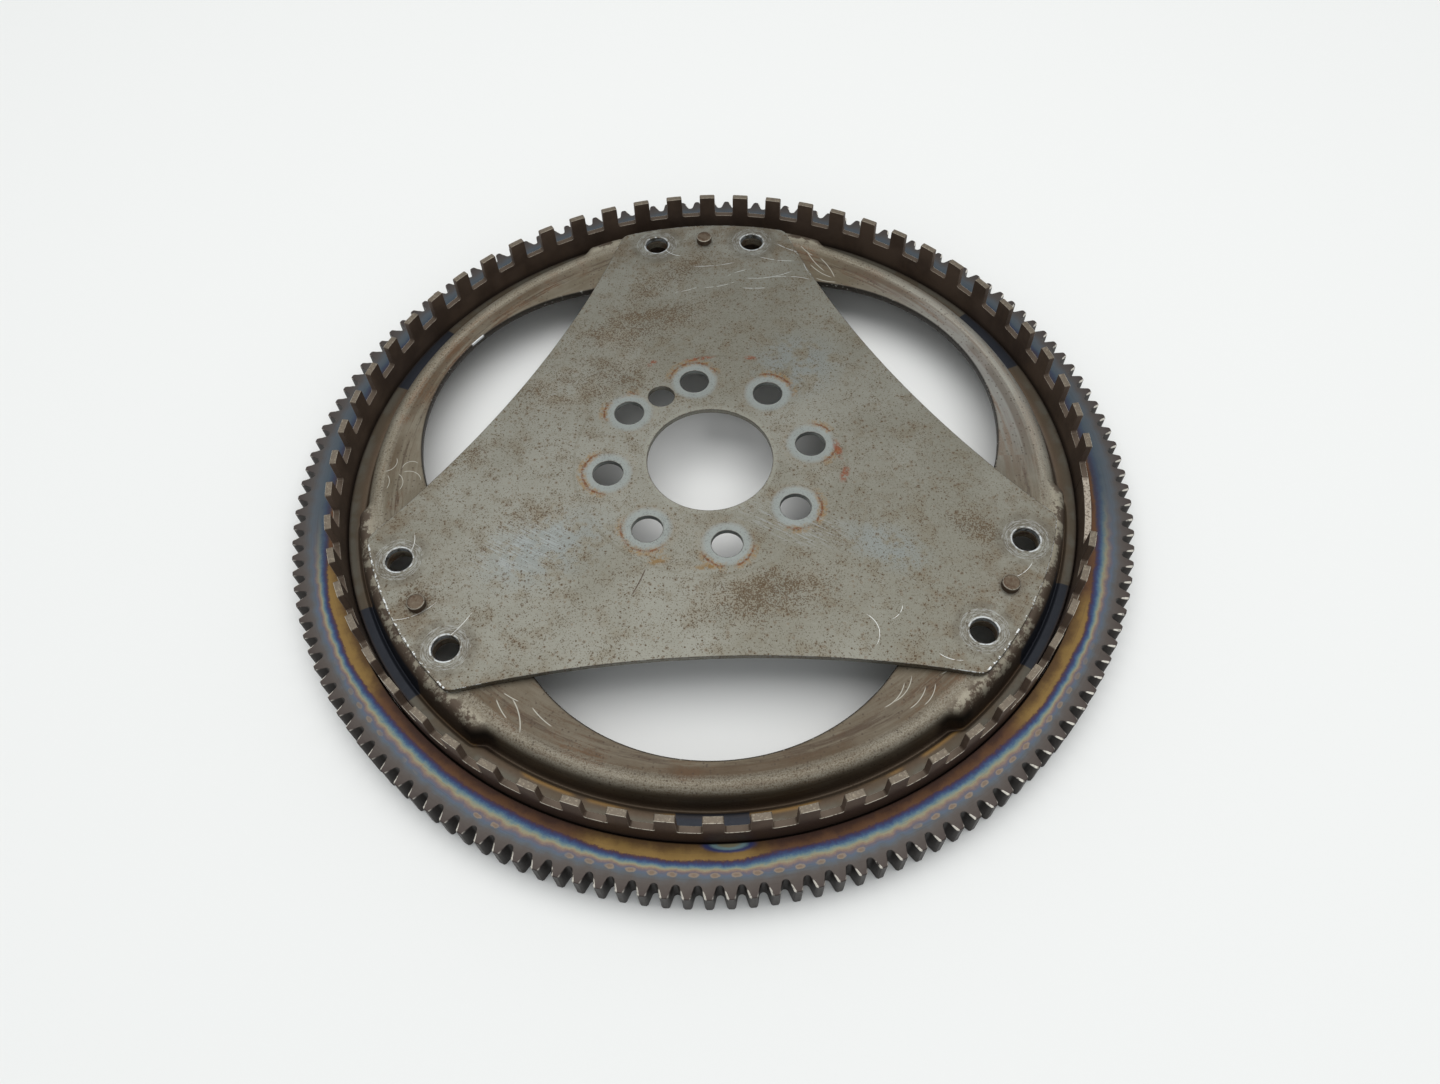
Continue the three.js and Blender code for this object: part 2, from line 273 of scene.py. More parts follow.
class Look:
    """A metal's node material, written as sums on the position in millimetres and painted in layers."""

    def __init__(self, name, metallic, tone=(1.0, 1.0, 1.0)):
        self.tone = tone
        self.tint = None
        self.material = bpy.data.materials.new(name)
        self.material.use_nodes = True
        self.tree = self.material.node_tree
        self.tree.nodes.clear()
        self.shader = self.node("BsdfPrincipled", Metallic=metallic)
        self.node("OutputMaterial", Surface=self.shader.outputs["BSDF"])
        self.place = self.vector("SCALE", self.node("TexCoord").outputs["Object"], scale=1000.0)
        self.x, self.y, self.z = self.split(self.place)
        self.flat = self.combine(self.x, self.y, 0.0)
        self.r = self.hypot(self.x, self.y)
        turn = self.math("ARCTAN2", self.y, self.x)
        self.angle = self.wrap(turn * (180 / math.pi), 360.0)          # from 0 to 360
        self.up = self.split(self.node("NewGeometry").outputs["True Normal"])[2]

    def node(self, kind, **inputs):
        """A new node with its inputs set. An underscore stands for the space in an input's name."""
        node = self.tree.nodes.new("ShaderNode" + kind)
        for name, value in inputs.items():
            self.wire(node.inputs[name.replace("_", " ")], value)
        return node

    def wire(self, socket, value):
        if isinstance(value, Field):
            value = value.socket
        if isinstance(value, bpy.types.NodeSocket):
            self.tree.links.new(value, socket)
        else:
            socket.default_value = value

    def math(self, operation, *values):
        node = self.node("Math")
        node.operation = operation
        for socket, value in zip(node.inputs, values):
            self.wire(socket, value)
        return Field(self, node.outputs[0])

    def hypot(self, a, b):
        return self.math("SQRT", a * a + b * b)

    def wrap(self, value, period):
        return self.math("WRAP", value, period, 0.0)

    def largest(self, values):
        total = values[0]
        for value in values[1:]:
            total = self.math("MAXIMUM", total, value)
        return total

    def vector(self, operation, *values, scale=None):
        node = self.node("VectorMath")
        node.operation = operation
        for socket, value in zip(node.inputs, values):
            self.wire(socket, value)
        if scale is not None:
            self.wire(node.inputs["Scale"], scale)
        if operation in ("LENGTH", "DOT_PRODUCT"):
            return Field(self, node.outputs["Value"])
        return node.outputs["Vector"]

    def split(self, vector):
        return [Field(self, socket) for socket in self.node("SeparateXYZ", Vector=vector).outputs]

    def combine(self, x, y, z):
        return self.node("CombineXYZ", X=x, Y=y, Z=z).outputs[0]

    def noise(self, scale, detail, rough=0.55, place=None, shift=0.0):
        """Fractal noise round 0.5. The scale is in features per millimetre, and shift moves it elsewhere."""
        place = self.place if place is None else place
        if shift:
            place = self.vector("ADD", place, (shift, shift * 0.7, shift * 1.3))
        node = self.node("TexNoise", Vector=place, Scale=scale, Detail=detail, Roughness=rough, Distortion=0.0)
        return Field(self, node.outputs["Fac"])

    def cells(self, scale):
        """The distance to the nearest cell centre, and a random value for each cell."""
        node = self.node("TexVoronoi", Vector=self.place, Scale=scale, Randomness=1.0)
        parts = self.node("SeparateColor", Color=node.outputs["Color"])
        return Field(self, node.outputs["Distance"]), Field(self, parts.outputs[0])

    def mix(self, a, b, share):
        node = self.node("Mix")
        node.data_type = "RGBA"
        node.clamp_factor = True
        self.wire(node.inputs[0], share)
        for socket, value in zip((node.inputs[6], node.inputs[7]), (a, b)):
            self.wire(socket, colour(value) if isinstance(value, tuple) else value)
        return node.outputs[2]

    def paint(self, tint, share):
        """One more layer of colour over what is there, as strong as its share."""
        self.tint = self.mix(self.tint, tint, share)

    def ramp(self, value, stops):
        """Colours at places along a value, blended between them."""
        low, high = stops[0][0], stops[-1][0]
        node = self.node("ValToRGB", Fac=self.math("DIVIDE", value - low, high - low))
        elements = node.color_ramp.elements
        while len(elements) < len(stops):
            elements.new(0.5)
        for element, (place, tint) in zip(elements, stops):
            element.position = (place - low) / (high - low)
            element.color = colour(tint)
        return node.outputs["Color"]

    def edge_wear_and_shade(self):
        """How exposed an edge is, as the mesh's own attribute says; on the carrier it marks the opening's edge,
        which is also painted dark as shade.
        """
        node = self.node("Attribute")
        node.attribute_name = "edge_wear_and_shade"
        return Field(self, node.outputs["Fac"])

    def around(self, first, period, circle):
        """Places round evenly spaced centres on a circle: outwards from each one, and the distance from it."""
        turn = self.wrap(self.angle - (first - period / 2), period) - period / 2
        return self.off_centre(turn * (math.pi / 180), circle)

    def off_centre(self, turn, circle):
        across = self.r * self.math("COSINE", turn) - circle
        return across, self.hypot(across, self.r * self.math("SINE", turn))

    def from_arm(self):
        """Angle from the nearest arm, from 0 to 60 degrees."""
        return abs(self.wrap(self.angle - (ARMS[0] - 60.0), 120.0) - 60.0)

    def spot(self, x, y, long, short, degrees, soft=0.8):
        """1 inside a turned ellipse, fading out to its edge."""
        c, s = math.cos(math.radians(degrees)), math.sin(math.radians(degrees))
        dx, dy = self.x - x, self.y - y
        u = dx * (c / long) + dy * (s / long)
        v = dx * (-s / short) + dy * (c / short)
        return self.hypot(u, v).rise(1, 1 - soft)

    def spots(self, *rows):
        return self.largest([self.spot(*row) for row in rows])

    def stroke(self, x, y, length, degrees, bend, width):
        """A thin curved scratch through a point. bend is how far its ends turn, in degrees."""
        radius = length / math.radians(abs(bend))
        side = 1 if bend > 0 else -1
        cx, cy = polar(radius, degrees + 90 * side)
        half = math.degrees(length / 2 / radius)
        away = self.vector("SUBTRACT", self.flat, (x + cx, y + cy, 0.0))
        far = self.vector("LENGTH", away)
        toward = (-cx / radius, -cy / radius, 0.0)
        along = self.math("DIVIDE", self.vector("DOT_PRODUCT", away, toward), far)
        edge = math.cos(math.radians(half))
        inside = along.rise(edge, edge + (1 - edge) * 0.5)
        return abs(far - radius).rise(width * 0.7, width * 0.2) * inside

    def strokes(self, rows):
        return self.largest([self.stroke(*row) for row in rows])

    def finish(self, roughness, height, strength, distance):
        """The painted tint, a roughness, and a bump that is as deep as the distance in millimetres."""
        self.wire(self.shader.inputs["Base Color"], self.vector("MULTIPLY", self.tint, self.tone))
        self.wire(self.shader.inputs["Roughness"], roughness)
        bump = self.node("Bump", Strength=strength, Distance=distance * MM, Height=height)
        self.wire(self.shader.inputs["Normal"], bump.outputs["Normal"])
        return self.material


def colour(tint):
    """An (r, g, b) colour as shown on a screen, from 0 to 255, as linear light."""
    return tuple((c / 255 / 12.92 if c <= 10 else ((c / 255 + 0.055) / 1.055) ** 2.4) for c in tint) + (1.0,)


# ------ looks

def plate_look():
    m = Look("plate_steel_worn", metallic=0.8, tone=(0.88, 0.925, 0.985))
    broad = m.noise(0.018, 4, 0.6)
    fine = m.noise(1.1, 4, 0.7)
    grain = m.noise(1.0, 3, 0.6, m.combine(m.x * 0.06, m.y * 2.4, 0.0))
    m.tint = m.mix((136, 132, 119), (121, 116, 102), broad.rise(0.35, 0.65))
    m.paint((150, 147, 135), fine.rise(0.45, 0.8) * 0.35)
    m.paint((104, 98, 84), grain.rise(0.5, 0.75) * 0.25)

    mottle = m.noise(0.11, 5, 0.65, shift=31)
    m.paint((112, 100, 80), mottle.rise(0.48, 0.66) * 0.4)
    clean = m.spots((-58, -36, 34, 20, 25), (34, 44, 24, 22, 30), (60, -40, 22, 12, -30))
    m.paint((126, 130, 126), clean * mottle.rise(0.6, 0.45) * 0.6)
    m.paint((100, 84, 64), m.r.rise(92, 118) * mottle.rise(0.36, 0.6) * 0.5)

    # Rust: small dots, dense inside a few long patches and sparse elsewhere.
    patches = m.spots(
        (-28, 67, 46, 13, 22), (-48, 38, 40, 15, 14), (-14, 95, 34, 9, 40),
        (-62, -23, 26, 7, 18), (16, -58, 34, 13, 12), (92, -34, 16, 8, -35),
        (-92, 2, 20, 8, 40), (-20, -30, 14, 8, 0), (-100, -55, 10, 10, 0))
    patch = patches * m.noise(0.09, 4, 0.7, shift=11).rise(0.38, 0.6)
    grit = m.noise(2.1, 2, 0.6, shift=17)
    crowded = patches * broad.rise(0.3, 0.6) * 0.1 + mottle.rise(0.42, 0.66) * 0.05
    specks = (grit + crowded + patch * 0.03).rise(0.595, 0.645)
    near, chance = m.cells(0.7)
    pits = near.rise(0.3, 0.15) * chance.rise(0.26, 0.2)
    rust = m.math("MAXIMUM", specks * 0.8, pits)
    m.paint((122, 106, 82), patch * 0.3)
    m.paint((90, 68, 46), rust * 0.85)
    m.paint((104, 82, 60), near.band(0.34, 0.42, 0.06) * chance.rise(0.12, 0.08) * 0.5)
    hatch = m.noise(1.0, 3, 0.6, m.combine(m.x * 0.95 + m.y * 1.6, m.y * 0.06 - m.x * 0.1, 0.0))
    hatched = m.spots((-66, -36, 24, 15, 20, 0.7), (30, -30, 30, 12, -20)) * hatch.rise(0.5, 0.6)
    m.paint((156, 158, 154), hatched * 0.45)

    # Clamped seats of the crank bolts: pale clean rings with rust just outside them.
    across, seat = m.around(CRANK_FIRST, 45.0, CRANK_CIRCLE)
    ragged = seat + (m.noise(0.35, 3, 0.6) - 0.5) * 1.2
    hub = m.r.rise(55, 52)
    m.paint((140, 143, 137), seat.band(5, 7.4, 2.4) * hub * 0.78)
    edge_noise = m.noise(0.12, 3, 0.6, shift=4).rise(0.36, 0.52)
    outward = across.rise(0, 6) * 0.9 + 0.1
    broken = m.noise(0.8, 4, 0.75, shift=8).rise(0.42, 0.56)
    halo = ragged.band(9.2, 9.5, 0.5) * hub * edge_noise * outward
    m.paint((134, 100, 54), ragged.band(8.6, 10.6, 1.4) * hub * edge_noise * broken * outward * 0.6)
    m.paint((104, 62, 40), halo * (broken * 0.6 + 0.4) * 0.9)
    spots = m.spots((48.5, -9, 5.2, 2.1, 72, 0.7), (-21.5, 47, 3.2, 1.6, 40, 0.7), (-3, 48.6, 8, 1.3, 8, 0.7),
                    (17, 48, 3.2, 1.5, -10, 0.7), (47, 2, 2, 6, 10, 0.7))
    m.paint((124, 64, 38), spots * m.noise(0.5, 3, 0.7).rise(0.4, 0.55) * 0.8)
    yellow = m.spots((-19, -43.2, 6.0, 2.8, 15), (-2, -46.4, 7.0, 1.8, 5))
    m.paint((120, 90, 48), yellow * m.noise(0.6, 3, 0.7).rise(0.38, 0.55) * 0.8)
    m.paint((108, 100, 84), m.r.band(49.6, 50, 0.5) * m.noise(0.06, 2).rise(0.35, 0.6) * 0.45)
    m.paint((146, 142, 128), m.r.band(HUB_HOLE, HUB_HOLE + 1.2, 0.8) * 0.4)

    # Seats of the converter bolts: scratched bright rings.
    _, lug = m.off_centre((m.from_arm() - CONVERTER_OFFSET) * (math.pi / 180), CONVERTER_CIRCLE)
    rings = m.noise(2.6, 3, 0.65, m.combine(lug, m.x * 0.16, m.y * 0.16))
    m.paint((102, 96, 84), lug.band(5.2, 9.5, 2.5) * mottle.rise(0.35, 0.55) * 0.55)
    m.paint((92, 86, 76), lug.band(5, 8, 0.4) * rings.rise(0.48, 0.4) * 0.5)
    bright = lug.band(4.6, 8.2, 0.4) * rings.rise(0.45, 0.62)
    m.paint((164, 163, 156), bright * 0.5)
    m.paint((200, 200, 196), lug.band(4.6, 5.2, 0.25) * m.noise(0.4, 2).rise(0.35, 0.55) * 0.8)
    stain = m.spots(*[(x, y, 8, 8, 0, 0.9) for x, y in RIVETS])
    m.paint((82, 68, 54), stain * m.noise(0.25, 3).rise(0.4, 0.6) * 0.55)

    # Bright scratches left by tools, near the arms' corners.
    marks = m.strokes(PLATE_STROKES) * m.noise(0.35, 3, 0.6, shift=6).rise(0.36, 0.5)
    m.paint((206, 204, 196), marks * 0.75)
    m.paint((66, 44, 32), m.stroke(-25, -51.5, 12, 66, 10, 0.45) * 0.8)

    # Sheared edges: bright nicks along the arm tips with a painted highlight along the near arms' tips, dull brown
    # along the sides.
    edge_wear_and_shade = m.edge_wear_and_shade()
    chipped = m.noise(0.6, 3, 0.7, shift=3).rise(0.51, 0.56)
    # painted highlight along the tips of the near arms, broken up like the nicks
    near_tip_highlight = m.r.band(PLATE_TIP - 0.6, PLATE_TIP + 1, 0.25) * (m.x * 0.15 + m.y).rise(-35, -58)
    nicks = m.largest([edge_wear_and_shade.rise(0.35, 0.8), near_tip_highlight]) * chipped
    tips = m.r.rise(112, 121)
    m.paint((86, 74, 60), edge_wear_and_shade.rise(0.1, 0.6) * 0.45)
    m.paint((214, 212, 206), nicks * (tips * 0.75 + 0.15))
    m.paint((104, 94, 80), m.up.rise(-0.1, -0.6) * 0.5)

    rough = fine * 0.16 + 0.4 - marks * 0.18 + rust * 0.25
    height = fine * 0.35 + grain * 0.2 + rust * 0.5 - marks * 0.6
    return m.finish(rough, height, strength=0.35, distance=0.06)


PLATE_STROKES = (
    # x, y, length, direction, bend, width
    (-14, 108, 9, -35, 60, 0.35), (4, 100, 18, 5, 20, 0.3), (14, 96, 12, 20, -30, 0.3),
    (30, 102, 16, -12, 25, 0.3), (26, 92, 22, 8, 40, 0.28), (36, 92, 16, -8, -30, 0.28),
    (36, 108, 14, -30, 25, 0.35), (40, 104, 12, -50, 20, 0.35), (20, 86, 10, -2, 10, 0.35),
    (6, 88, 14, 12, 30, 0.25), (-8, 86, 10, 15, 20, 0.25), (42, 96, 8, -70, 30, 0.3),
    (-88, -77, 7, -60, 30, 0.3), (-84, -66, 13, 52, 20, 0.2), (54, -72, 14, 100, 100, 0.22),
    (62, -66, 10, 60, 90, 0.2), (106, -52, 9, 40, 40, 0.22), (-104, -34, 12, 80, 60, 0.2),
    (-101, -62, 20, 20, 60, 0.18), (76, -84, 9, -20, 50, 0.22),
)


def carrier_look():
    m = Look("carrier_steel_stained", metallic=0.6, tone=(0.82, 0.86, 0.92))
    arms = m.from_arm()
    streaked = m.combine(m.r * 0.9, m.angle * (2.2 * 0.05), m.z * 0.9)
    broad = m.noise(0.03, 4, 0.6)
    streaks = m.noise(0.7, 5, 0.75, streaked)
    fine = m.noise(0.9, 4, 0.7)
    dotted = m.noise(2.0, 3, 0.75, shift=27)
    m.tint = m.mix((126, 116, 98), (106, 94, 74), broad.rise(0.35, 0.65))
    grain = m.y.rise(30, -30, to=0.6) + 0.4
    m.paint((144, 135, 117), streaks.rise(0.5, 0.64) * grain * 0.42)
    m.paint((92, 68, 46), (streaks + (dotted - 0.5) * 0.4).rise(0.47, 0.36) * grain * 0.6)
    blotches = m.noise(0.16, 4, 0.7, shift=31).rise(0.48, 0.62) * m.y.rise(-10, 40)
    m.paint((98, 72, 50), blotches * dotted.rise(0.35, 0.6) * 0.4)
    rusty = m.r.band(114, 120, 2.5) * m.noise(0.06, 4, 0.6, shift=7).rise(0.45, 0.6)
    m.paint((112, 78, 50), rusty * (streaks + (dotted - 0.5) * 0.6).rise(0.58, 0.44) * 0.75)
    m.paint((84, 68, 50), m.y.rise(-20, -100) * 0.5)
    m.paint((68, 52, 40), m.r.band(113.5, 115.6, 1.6) * streaks.rise(0.54, 0.42) * 0.55)
    # Lighter and bluish-grey towards the right side, with brown smears there.
    lighter_right_side = m.x.rise(55, 105) * m.y.rise(-30, 30)
    m.paint((150, 149, 142), lighter_right_side * 0.6)
    smears = m.noise(0.24, 4, 0.65, streaked, shift=37).rise(0.46, 0.57) * dotted.rise(0.28, 0.55)
    m.paint((108, 78, 54), lighter_right_side * smears * 0.75)
    rim_line = m.r.band(116.6, 118.6, 1) * arms.rise(24, 34)
    m.paint((78, 58, 38), rim_line * m.noise(0.03, 2, shift=3).rise(0.35, 0.55) * 0.5)

    # The shoulder carries a painted highlight, broken up by streaks, with dark specks.
    shoulder_highlight = m.r.band(119.8, 124, 1.4) * m.z.rise(15.5, 18) * dotted.rise(0.36, 0.58)
    m.paint((166, 157, 138), shoulder_highlight * (streaks * 0.8 + 0.05))
    near, chance = m.cells(0.9)
    specks = near.rise(0.4, 0.2) * chance.rise(0.7, 0.74)
    m.paint((70, 56, 44), specks * 0.65)
    m.paint((86, 72, 56), m.r.band(119.3, 119.8, 0.35) * arms.rise(22, 28) * 0.4)

    # Stains run down the pads outside the arms; painted shade darkens the pockets in the stepped corners and the
    # groove.
    drip = m.noise(0.22, 5, 0.7, m.combine(m.x * 0.9, m.y * 0.9, m.z * 0.5), shift=5)
    pad = m.r.rise(121, 124.5) * arms.rise(27, 21)
    m.paint((176, 166, 144), pad * 0.6)
    runs = drip + m.z.rise(21, 15, to=0.25) + m.r.rise(122, 127, to=0.09)
    m.paint((66, 46, 32), pad * runs.rise(0.5, 0.6) * 0.85)
    # painted shade: near black in the pocket of each stepped corner
    m.paint((26, 20, 15), arms.band(21.5, 25, 2) * m.r.rise(122.5, 125) * m.z.rise(20.5, 16.5) * 0.9)
    # painted shade, brown, low on the wall and in the groove
    m.paint((84, 66, 50), m.z.rise(17, 11.5) * m.r.rise(123.5, 125.5) * 0.6)

    # The ledge is straw-brown, with a painted gold highlight along its inner edge on the near side and blue-black
    # marks over the welds.
    ledge = m.r.rise(128.2, 129.2) * m.z.rise(10.6, 11.2) * m.up.rise(0.2, 0.7)
    straw = m.mix((104, 98, 84), (88, 70, 52), m.r.rise(133, 129.5))
    straw = m.mix(straw, (90, 74, 54), m.noise(0.12, 3, shift=15).rise(0.42, 0.58) * 0.6)
    # painted highlight: a gold line along the ledge's rounded inner edge, on the near side only
    near_edge_highlight = m.r.rise(130.4, 129) * m.y.rise(-60, -110)
    straw = m.mix(straw, (148, 112, 60), near_edge_highlight * m.noise(0.05, 2, shift=12).rise(0.4, 0.5))
    m.paint(straw, ledge * 0.9)
    marks = m.largest([m.angle.band(a, b, 0.25) for a, b in HEAT_MARKS])
    m.paint((34, 40, 50), marks * m.r.rise(127.6, 128.6) * m.z.rise(6, 8) * 0.92)
    m.paint((60, 46, 36), m.r.rise(133.2, 134.2) * 0.7)

    m.paint((190, 184, 168), m.strokes(CARRIER_STROKES) * m.up.rise(0.2, 0.6) * 0.75)
    edge_wear_and_shade = m.edge_wear_and_shade()
    nicks = edge_wear_and_shade * m.noise(0.9, 2, 0.6, shift=9).rise(0.62, 0.68) * m.noise(0.03, 2).rise(0.45, 0.6)
    # painted shade: the wall of the opening's edge is painted dark
    m.paint((40, 34, 29), edge_wear_and_shade * 0.85)
    m.paint((196, 190, 176), nicks * 0.7)
    glint = edge_wear_and_shade.rise(0.2, 0.6) * m.angle.band(142.8, 145.6, 0.4) * m.z.rise(18.4, 19)
    m.paint((236, 234, 228), glint * 0.9)

    return m.finish(fine * 0.2 + 0.46, fine * 0.5 + streaks * 0.5, strength=0.4, distance=0.1)


CARRIER_STROKES = (
    # x, y, length, direction, bend, width
    (-117, 4, 9, 60, 120, 0.3), (-112, 6, 8, 20, -140, 0.28), (-109, 1, 10, 150, 110, 0.28),
    (-113, -3, 9, 100, 90, 0.28), (-118, -3, 7, 95, 60, 0.28), (-69, -95, 8, -60, 20, 0.35),
    (-63, -97, 13, -75, -40, 0.4), (-56, -98, 10, -45, 20, 0.35), (-66, -91, 6, -30, 10, 0.3),
    (58, -95, 12, 48, 55, 0.3), (61, -93, 12, 52, 60, 0.28), (65, -96, 10, 50, 45, 0.3),
    (69, -95, 9, 58, 50, 0.28), (76, -86, 8, 40, 40, 0.28), (46, 104, 14, -60, 30, 0.4),
    (48, 98, 12, -40, 40, 0.4), (52, 101, 13, -65, -30, 0.4), (43, 110, 8, -50, 30, 0.35),
    (50, 93, 9, -15, 30, 0.35),
)

# Colours of the heat tint along the radius, below the near side's welds and where it is calmer.
HEAT_BANDS = (
    (140.8, (92, 70, 50)), (141.4, (74, 52, 56)), (142.0, (56, 54, 84)), (142.6, (54, 68, 102)),
    (143.3, (72, 96, 118)), (144.0, (104, 122, 120)), (144.8, (136, 130, 106)), (145.5, (124, 106, 94)),
    (146.4, (96, 90, 98)), (147.2, (82, 92, 106)), (148.2, (84, 88, 92)), (149.2, (84, 80, 78)),
    (150.5, (80, 74, 70)), (154.5, (70, 62, 59)),
)
CALM_BANDS = (
    (140.8, (74, 62, 54)), (142.0, (56, 54, 68)), (143.4, (58, 68, 84)), (145.0, (72, 82, 90)),
    (147.5, (80, 86, 92)), (150.0, (80, 76, 74)), (154.5, (70, 62, 59)),
)
HOT_SECTORS = (29.4, 90.0, 150.7, 205.0, 264.0, 325.0)      # where the weld's heat drew the bands inwards


def gear_look():
    m = Look("gear_steel_heat_tinted", metallic=0.5, tone=(0.88, 0.88, 0.88))
    m.shader.inputs["Specular IOR Level"].default_value = 0.15
    fine = m.noise(0.9, 4, 0.7)
    turned_marks = m.noise(2.2, 2, 0.6, m.combine(m.r, m.angle * 0.05, 0.0))
    welded = m.largest([abs(m.angle - a).rise(17, 5) for a in HOT_SECTORS])
    wobble = (m.noise(0.05, 3, 0.6) - 0.5) * 2.2
    pull = welded * m.r.rise(147.5, 143.5, to=1.7)
    pitch = 360.0 / GEAR_TEETH
    step = m.wrap(m.angle - (GEAR_FIRST_GAP - 0.5 - pitch / 2), pitch) - pitch / 2
    scallop = m.math("COSINE", step * (2 * math.pi / pitch)) * m.r.rise(142.5, 146, to=0.3)
    ragged = (m.noise(0.7, 4, 0.75, shift=19) - 0.5) * 1.9
    shifted = m.r + ragged + wobble + scallop - pull
    mottled = (m.noise(0.14, 4, 0.6, shift=13) - 0.5) * 7.0
    brown = m.mix((66, 46, 38), (92, 64, 44), (m.r + mottled).rise(138, 141))
    gold = m.mix((88, 66, 42), (128, 102, 58), (m.r + mottled).rise(138, 142))
    inner = m.mix(brown, gold, welded.rise(0.15, 0.75))
    bands = m.mix(m.ramp(shifted, CALM_BANDS), m.ramp(shifted, HEAT_BANDS), m.y.rise(-5, -55))
    m.tint = m.mix(inner, bands, shifted.rise(140.7, 141.5))
    face = m.up.rise(0.4, 0.8) * m.z.rise(11, 11.7)
    m.tint = m.mix((48, 43, 40), m.tint, face)
    m.paint((60, 54, 50), turned_marks.rise(0.5, 0.75) * 0.2)

    # Small oval contact marks on the face behind the gaps on the near side, here and there, left by the hardening
    # rig.
    circle, half_length, half_width = 147.2, 1.45, 0.72
    along = step * (math.radians(circle) / half_length)
    oval = m.hypot(along, (m.r - circle) * (1 / half_width)) + (m.noise(0.9, 2, shift=23) - 0.5)
    lower = m.y.rise(-60, -110)
    some = m.noise(0.045, 2, 0.5, shift=21).rise(0.38, 0.5)
    m.paint((142, 122, 98), oval.rise(1.25, 0.85) * lower * some * face * 0.6)
    m.paint((104, 84, 66), oval.rise(0.7, 0.4) * lower * some * face * 0.5)
    fan = m.spot(2.5, -137.8, 11, 3.6, 0, 0.9) + (fine - 0.5) * 0.15
    m.paint((44, 56, 100), fan.rise(0.05, 0.35) * face * 0.9)
    m.paint((112, 138, 140), fan.rise(0.4, 0.7) * face * 0.9)
    m.paint((124, 112, 80), fan.rise(0.75, 0.95) * face * 0.8)

    m.paint((40, 32, 28), m.r.rise(138.2, 137.6) * 0.8)
    edge_wear_and_shade = m.edge_wear_and_shade()
    m.paint((236, 230, 218), edge_wear_and_shade.rise(0.3, 0.9) * m.noise(0.5, 2).rise(0.3, 0.45) * 0.95)
    height = fine * 0.6 + turned_marks * 0.4
    return m.finish(fine * 0.18 + 0.36 - edge_wear_and_shade * 0.1, height, strength=0.25, distance=0.05)


def ring_look():
    m = Look("trigger_ring_steel", metallic=0.5)
    fine = m.noise(0.9, 4, 0.7)
    broad = m.noise(0.06, 3, 0.6)
    m.tint = m.mix((100, 84, 72), (80, 66, 56), broad.rise(0.35, 0.65))
    streaks = m.noise(0.8, 3, 0.6, m.combine(m.x, m.y, m.z * 0.12))
    m.paint((98, 80, 64), streaks.rise(0.5, 0.7) * 0.35)
    tops = m.z.rise(RING_TOP - 0.5, RING_TOP - 0.2) * m.up.rise(0.3, 0.8)
    speckle = m.noise(1.1, 4, 0.75, shift=2)
    m.paint((104, 95, 82), tops * 0.8)
    m.paint((150, 140, 122), tops * speckle.rise(0.5, 0.68) * 0.6)
    floors = m.z.band(RING_FLOOR - 0.4, RING_FLOOR + 0.3, 0.2) * m.up.rise(0.3, 0.8)
    m.paint((78, 66, 54), floors * 0.85)
    m.paint((58, 42, 33), m.r.rise(RING_OUTER - 0.15, RING_OUTER - 0.02) * m.z.rise(25, 19) * 0.92)
    m.paint((176, 166, 152), floors * m.angle.band(344, 354.6, 0.6) * speckle.rise(0.35, 0.55) * 0.8)
    edge_wear_and_shade = m.edge_wear_and_shade()
    upright = m.z.band(RING_FLOOR + 0.7, RING_TOP - 0.5, 0.2) * 0.85
    lighter_right_side = edge_wear_and_shade.rise(0.42, 0.8) * (1.0 - upright) * m.z.rise(18, 19.5)
    m.paint((206, 198, 182), lighter_right_side * speckle.rise(0.36, 0.5) * 0.85)
    m.paint((52, 43, 37), m.z.rise(14, 11) * 0.6)
    return m.finish(fine * 0.2 + 0.42, fine * 0.6 + speckle * 0.5, strength=0.4, distance=0.08)


def rivet_look():
    m = Look("rivet_steel", metallic=0.7)
    fine = m.noise(1.3, 4, 0.7)
    broad = m.noise(0.4, 3, 0.6)
    m.tint = m.mix((92, 80, 66), (74, 58, 44), broad.rise(0.4, 0.62))
    m.paint((124, 116, 102), fine.rise(0.5, 0.7) * 0.4)
    # painted highlight round the rounded rim of the head
    m.paint((176, 170, 156), m.up.band(0.3, 0.9, 0.06) * fine.rise(0.35, 0.5) * 0.7)
    # painted shade on the sides and on the faces that look down
    m.paint((74, 58, 48), m.up.rise(0.5, 0.1) * 0.5)
    return m.finish(fine * 0.2 + 0.4, fine, strength=0.4, distance=0.08)


def weld_look():
    m = Look("weld_steel", metallic=0.6)
    fine = m.noise(1.3, 4, 0.7)
    m.tint = m.mix((66, 62, 60), (46, 44, 50), m.noise(0.2, 3).rise(0.4, 0.62))
    m.paint((96, 70, 50), m.noise(0.5, 3, shift=5).rise(0.52, 0.64) * 0.6)
    return m.finish(fine * 0.2 + 0.45, fine, strength=0.4, distance=0.1)


# ------ flex plate

LUGS = [polar(CONVERTER_CIRCLE, a + s * CONVERTER_OFFSET) for a in ARMS for s in (-1, 1)]
RIVETS = [polar(RIVET_CIRCLE, a) for a in ARMS]


